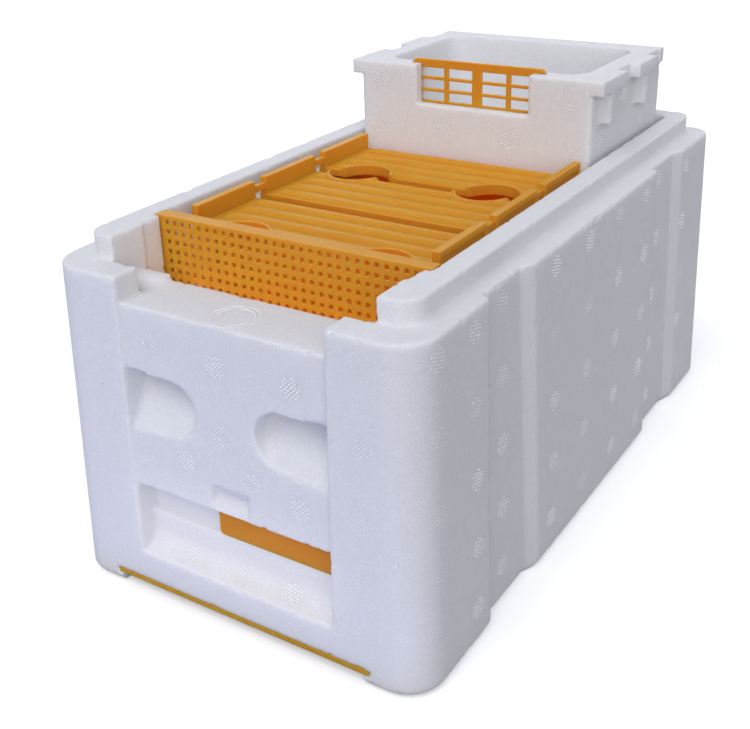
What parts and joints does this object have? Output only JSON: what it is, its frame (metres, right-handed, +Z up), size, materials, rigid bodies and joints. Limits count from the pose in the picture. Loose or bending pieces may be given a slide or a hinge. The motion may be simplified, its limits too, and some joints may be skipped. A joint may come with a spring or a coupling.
{
  "type": "nuc box",
  "caption": "Foam mating nuc box without its lid: leaning walls, porch with entrance slide, hanging frames, vent plate, loose feeder tub with a bee grille, and a floor slide.",
  "frame": {"origin": "middle of the box at the level its feet stand on", "axes": "+Z up, the entrance and porch face -Y, the entrance slide rests on the +X side"},
  "size_m": [0.146, 0.268, 0.1582],
  "materials": {
    "foam": "matt expanded polystyrene beads",
    "plastic": "satin moulded",
    "sheet": "satin moulded"
  },
  "bodies": {
    "box": {"hive_body": "foam"},
    "feed": {"feeder": "foam"},
    "grille": {"bee_grille": "plastic"},
    "vent": {"vent_plate": "plastic"},
    "comb_front": {"frame_front": "plastic", "foundation_front": "sheet"},
    "comb_middle": {"frame_middle": "plastic", "foundation_middle": "sheet"},
    "comb_rear": {"frame_rear": "plastic", "foundation_rear": "sheet"},
    "gate": {"entrance_slide": "plastic"},
    "drawer": {"floor_slide": "plastic"}
  },
  "joints": [
    {"name": "feeder_lift", "type": "slide", "parent": "box", "child": "feed", "axis": [0, 0, 1], "range_m": [0, 0.05]},
    {"name": "grille_lift", "type": "slide", "parent": "feed", "child": "grille", "axis": [0, 0, 1], "range_m": [0, 0.022]},
    {"name": "vent_lift", "type": "slide", "parent": "box", "child": "vent", "axis": [0, 0, 1], "range_m": [0, 0.04]},
    {"name": "frame_front_lift", "type": "slide", "parent": "box", "child": "comb_front", "axis": [0, 0, 1], "range_m": [0, 0.1]},
    {"name": "frame_middle_lift", "type": "slide", "parent": "box", "child": "comb_middle", "axis": [0, 0, 1], "range_m": [0, 0.1]},
    {"name": "frame_rear_lift", "type": "slide", "parent": "box", "child": "comb_rear", "axis": [0, 0, 1], "range_m": [0, 0.1]},
    {"name": "entrance_open", "type": "slide", "parent": "box", "child": "gate", "axis": [-1, 0, 0], "range_m": [0, 0.029]},
    {"name": "floor_pull", "type": "slide", "parent": "box", "child": "drawer", "axis": [0, -1, 0], "range_m": [0, 0.15]}
  ]
}
